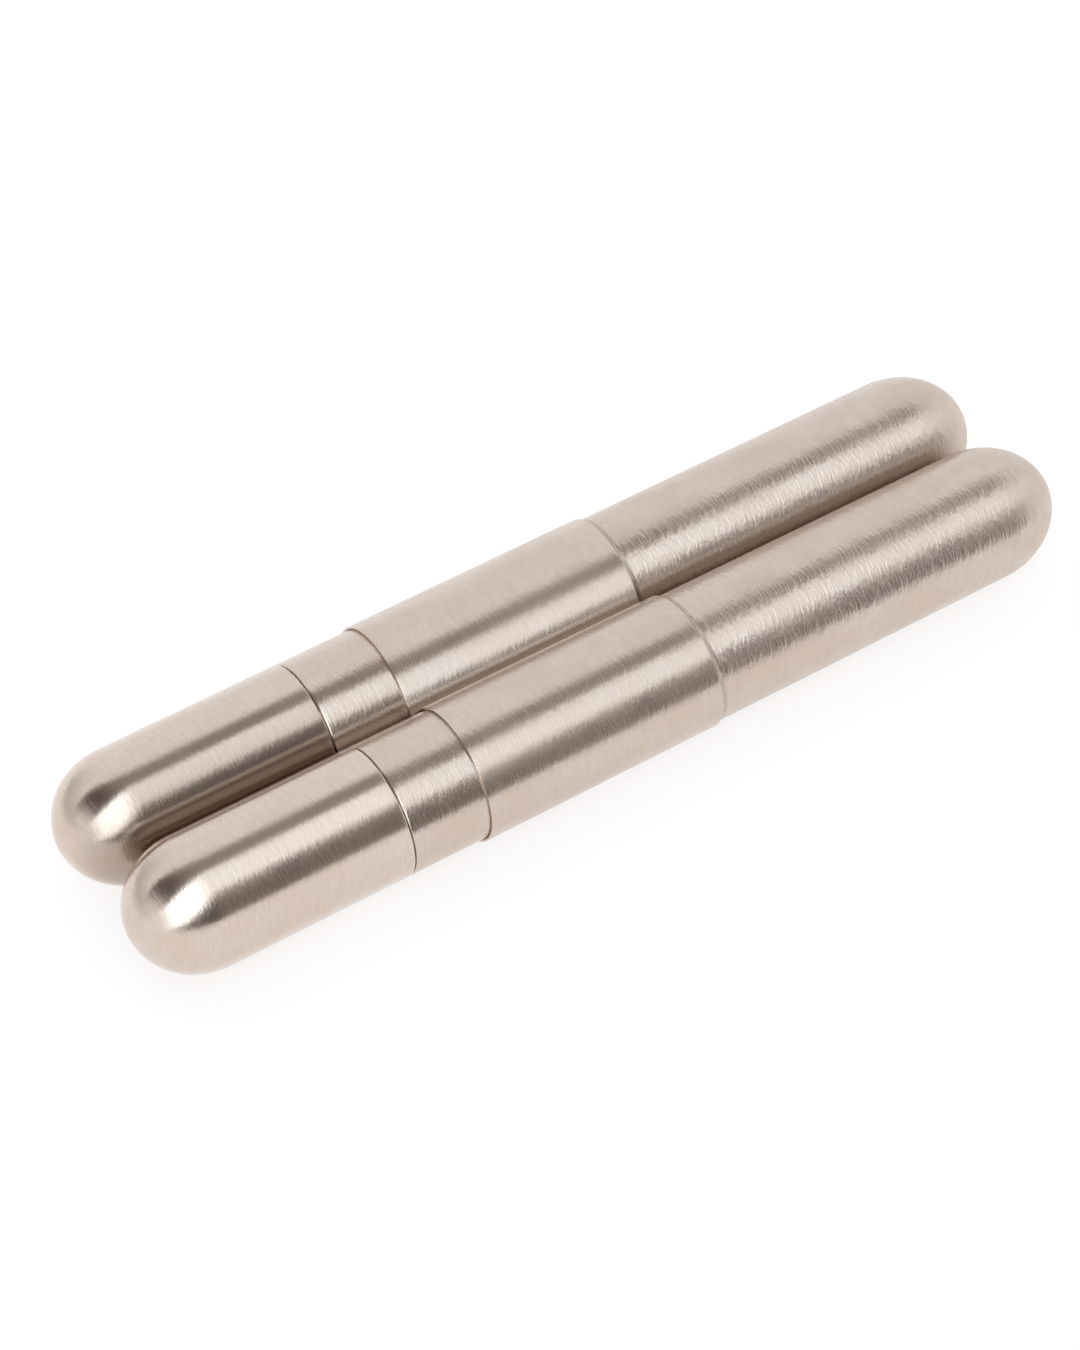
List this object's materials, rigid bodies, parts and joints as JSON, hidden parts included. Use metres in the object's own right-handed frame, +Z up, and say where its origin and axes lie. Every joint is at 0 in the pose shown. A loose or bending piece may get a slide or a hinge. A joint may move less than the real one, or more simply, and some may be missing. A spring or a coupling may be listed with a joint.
{
  "type": "twin telescoping tube case",
  "caption": "Pocket case of two round-ended brushed steel barrels soldered side by side; each slide tube telescopes and each domed cap pulls off its neck.",
  "frame": {"origin": "on the ground under the middle of the case, at the centre of its box's lower face", "axes": "+X along the barrels, from the pull-off caps at -X to the closed base tubes at +X; +Y from the front barrel to the rear barrel; +Z up"},
  "size_m": [0.171, 0.046, 0.0229],
  "materials": {
    "brushed_steel": "brushed round the tubes, warm nickel tone",
    "spring_steel": "bright spring temper",
    "solder": "filed and brushed over"
  },
  "bodies": {
    "case": {"rear_sleeve": "brushed_steel", "rear_solder_bead": "solder", "rear_base_tube": "brushed_steel", "front_sleeve": "brushed_steel", "front_solder_bead": "solder", "front_base_tube": "brushed_steel", "solder_fillet_top": "solder", "solder_fillet_bottom": "solder"},
    "rear_slide_grip": {"rear_slide_grip_ring": "spring_steel"},
    "rear_slide": {"rear_slide_tube": "brushed_steel", "rear_neck_liner": "brushed_steel"},
    "rear_cap_grip": {"rear_cap_grip_ring": "spring_steel"},
    "rear_cap": {"rear_end_cap": "brushed_steel"},
    "front_slide_grip": {"front_slide_grip_ring": "spring_steel"},
    "front_slide": {"front_slide_tube": "brushed_steel", "front_neck_liner": "brushed_steel"},
    "front_cap_grip": {"front_cap_grip_ring": "spring_steel"},
    "front_cap": {"front_end_cap": "brushed_steel"}
  },
  "joints": [
    {"name": "rear_telescope", "type": "slide", "parent": "case", "child": "rear_slide_grip", "axis": [-1, 0, 0], "range_m": [0, 0.02]},
    {"name": "rear_slide_twist", "type": "hinge", "parent": "rear_slide_grip", "child": "rear_slide", "pos_m": [-0.0025, 0.0115, 0.01146], "axis": [1, 0, 0], "continuous": true},
    {"name": "rear_cap_twist", "type": "hinge", "parent": "rear_slide", "child": "rear_cap_grip", "pos_m": [-0.0508, 0.0115, 0.01146], "axis": [1, 0, 0], "continuous": true},
    {"name": "rear_cap_pull", "type": "slide", "parent": "rear_cap_grip", "child": "rear_cap", "axis": [-1, 0, 0], "range_m": [0, 0.04]},
    {"name": "front_telescope", "type": "slide", "parent": "case", "child": "front_slide_grip", "axis": [-1, 0, 0], "range_m": [0, 0.02]},
    {"name": "front_slide_twist", "type": "hinge", "parent": "front_slide_grip", "child": "front_slide", "pos_m": [-0.0025, -0.0115, 0.01146], "axis": [1, 0, 0], "continuous": true},
    {"name": "front_cap_twist", "type": "hinge", "parent": "front_slide", "child": "front_cap_grip", "pos_m": [-0.0508, -0.0115, 0.01146], "axis": [1, 0, 0], "continuous": true},
    {"name": "front_cap_pull", "type": "slide", "parent": "front_cap_grip", "child": "front_cap", "axis": [-1, 0, 0], "range_m": [0, 0.04]}
  ]
}
